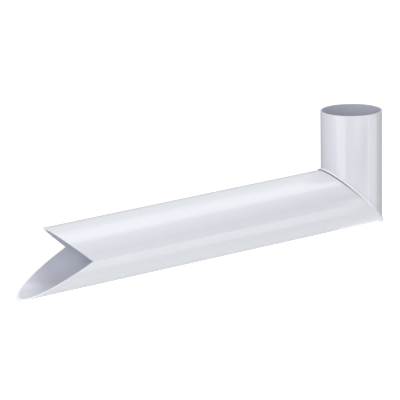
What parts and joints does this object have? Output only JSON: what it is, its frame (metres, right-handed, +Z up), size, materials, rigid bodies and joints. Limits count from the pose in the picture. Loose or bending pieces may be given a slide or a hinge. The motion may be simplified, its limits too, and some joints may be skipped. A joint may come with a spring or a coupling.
{
  "type": "roof drain spout",
  "caption": "Pale grey roof drain spout: a short upright inlet pipe mitred to a long spout that falls gently to a V-cut outlet.",
  "frame": {"origin": "centre of the inlet's mouth, in the plane of its rim", "axes": "+Z up along the inlet's axis and out of its mouth, +X the way the spout runs, XZ the plane of symmetry"},
  "size_m": [0.5227, 0.086, 0.1803],
  "materials": {
    "pipe": "smooth, semi-gloss"
  },
  "bodies": {
    "root": {"inlet_pipe": "pipe", "spout_pipe": "pipe"}
  },
  "joints": []
}
